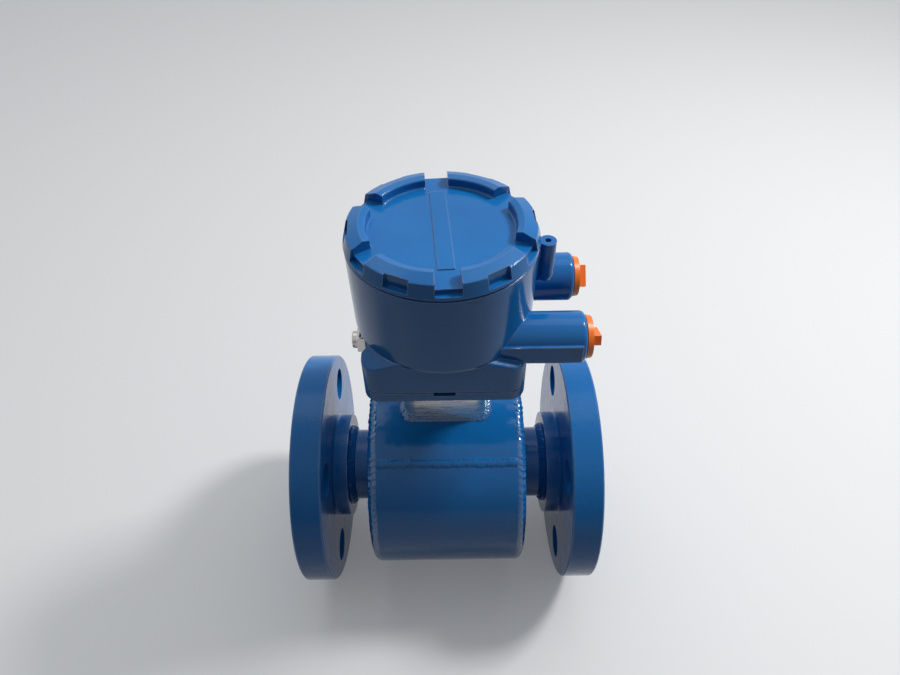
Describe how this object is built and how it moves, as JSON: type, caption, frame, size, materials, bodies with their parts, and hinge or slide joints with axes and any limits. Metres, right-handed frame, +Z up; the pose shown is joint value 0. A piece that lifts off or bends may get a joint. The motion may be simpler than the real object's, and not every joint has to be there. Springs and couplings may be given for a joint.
{
  "type": "electromagnetic flow meter",
  "caption": "Flanged electromagnetic flow meter: lined flow tube, welded coil housing, neck and a round junction box with a screwed cover and two plugged conduit entries.",
  "frame": {"origin": "middle of the flow tube's axis, halfway between the two sealing faces", "axes": "+X along the pipe from inlet to outlet, +Z up through the neck to the junction box, -Y to the front"},
  "size_m": [0.2, 0.1554, 0.2871],
  "materials": {
    "painted_steel": "gloss blue paint on steel",
    "painted_casting": "gloss blue paint on a casting",
    "stainless": "brushed stainless steel",
    "electrode_metal": "polished alloy",
    "magnet_iron": "plain rolled iron",
    "coil_copper": "enamelled copper winding",
    "liner_resin": "white fluoropolymer",
    "terminal_resin": "black moulded resin",
    "lead_sheath": "grey sheath",
    "seal_rubber": "black rubber",
    "orange_plastic": "moulded orange plastic"
  },
  "bodies": {
    "meter": {"flow_tube": "painted_steel", "liner": "liner_resin", "coil_housing": "painted_steel", "neck": "stainless", "neck_weld": "painted_steel", "flux_return_ring": "magnet_iron", "base_plate": "painted_casting", "base_gasket": "seal_rubber", "base_screws": "stainless", "junction_box": "painted_casting", "cover_lock_screw": "stainless", "terminal_block": "terminal_resin", "terminal_screws": "stainless", "lead_bundle": "lead_sheath", "ground_clamp": "stainless", "ground_screw": "stainless", "inlet_flange": "painted_steel", "outlet_flange": "painted_steel", "inlet_end_plate": "painted_steel", "outlet_end_plate": "painted_steel", "front_electrode": "electrode_metal", "rear_electrode": "electrode_metal", "front_electrode_bush": "liner_resin", "rear_electrode_bush": "liner_resin", "front_electrode_nut": "stainless", "rear_electrode_nut": "stainless", "upper_coil": "coil_copper", "lower_coil": "coil_copper", "upper_pole_piece": "magnet_iron", "lower_pole_piece": "magnet_iron"},
    "cover": {"cover": "painted_casting"},
    "cover_carrier": {"cover_o_ring": "seal_rubber"},
    "front_plug": {"front_conduit_plug": "orange_plastic"},
    "rear_plug": {"rear_conduit_plug": "orange_plastic"}
  },
  "joints": [
    {"name": "cover_rise", "type": "slide", "parent": "meter", "child": "cover_carrier", "axis": [0, 0, 1], "range_m": [0, 0.01]},
    {"name": "cover_turn", "type": "hinge", "parent": "cover_carrier", "child": "cover", "pos_m": [0, 0, 0.2], "axis": [0, 0, 1], "range_deg": [0, 1800]},
    {"name": "front_plug_pull", "type": "slide", "parent": "meter", "child": "front_plug", "axis": [1, 0, 0], "range_m": [0, 0.014]},
    {"name": "rear_plug_pull", "type": "slide", "parent": "meter", "child": "rear_plug", "axis": [1, 0, 0], "range_m": [0, 0.014]}
  ],
  "couplings": [
    {"joint": "cover_rise", "follows": "cover_turn", "m_per_rad": 0.00031831}
  ]
}
